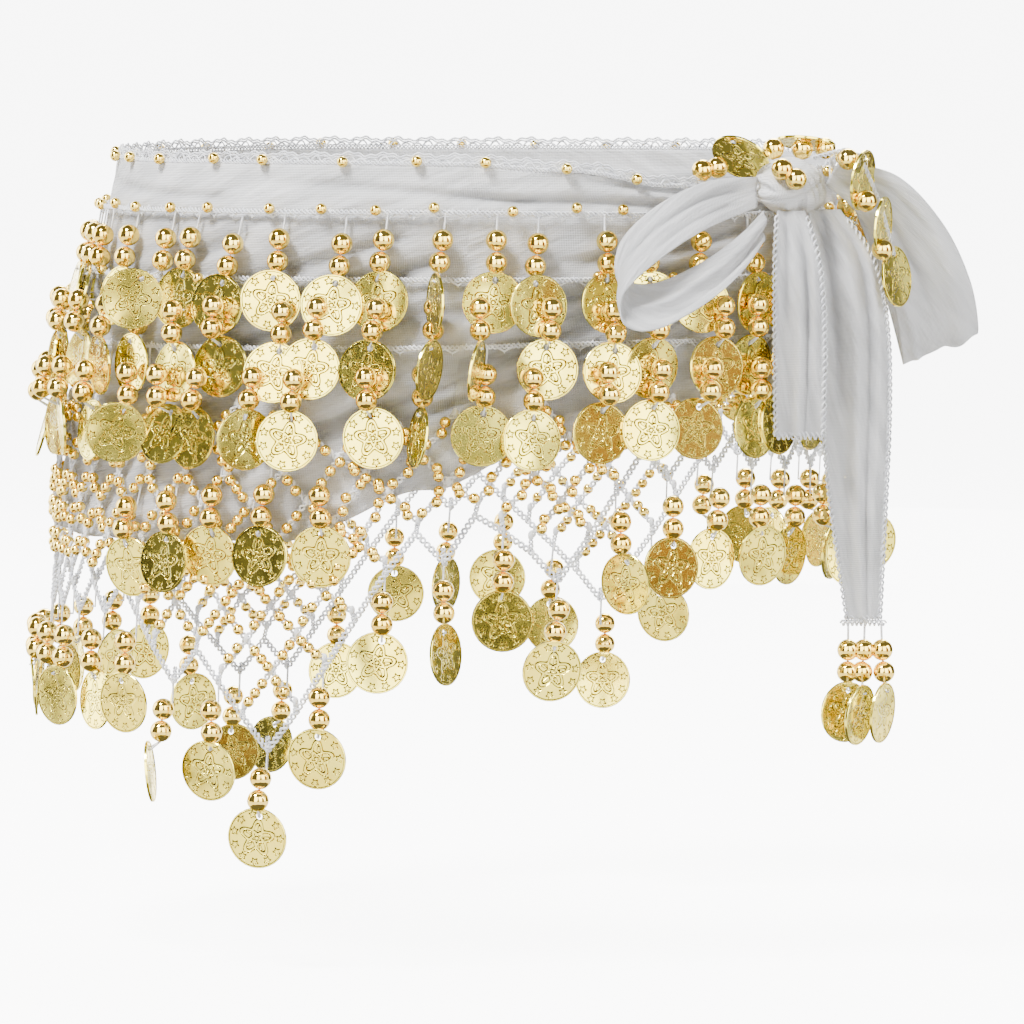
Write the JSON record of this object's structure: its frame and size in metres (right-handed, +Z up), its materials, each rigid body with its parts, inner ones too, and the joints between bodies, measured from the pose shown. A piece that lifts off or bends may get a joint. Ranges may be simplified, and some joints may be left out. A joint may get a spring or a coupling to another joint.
{
  "type": "belly dance coin belt, worn and tied",
  "caption": "Chiffon hip scarf worn round an open ring, with a crochet edge, rows of hanging beads and coins, an open net in points and a bow tied at one side.",
  "frame": {"origin": "centre of the waist opening, at the level of the waistband's top edge at the front, where the wearer's hips hold the scarf", "axes": "+Z up, -Y the front, +X the side where the scarf is tied"},
  "size_m": [0.3528, 0.2933, 0.2588],
  "materials": {
    "chiffon": "matte, sheer",
    "thread": "matte",
    "gold": "mirror"
  },
  "bodies": {
    "root": {"waistband": "chiffon", "hip_cloth": "chiffon", "top_lace_edging": "thread", "pendant_row_1": "gold", "pendant_row_2": "gold", "pendant_row_3": "gold", "pendant_festoon": "gold", "net_front": "thread", "net_back": "thread", "net_edge_front": "gold", "net_edge_back": "gold", "bow_knot": "chiffon", "bow_loop_left": "chiffon", "bow_loop_right": "chiffon", "tail_long": "chiffon", "tail_short": "chiffon", "tail_tassel": "gold", "knot_string": "gold"}
  },
  "joints": []
}
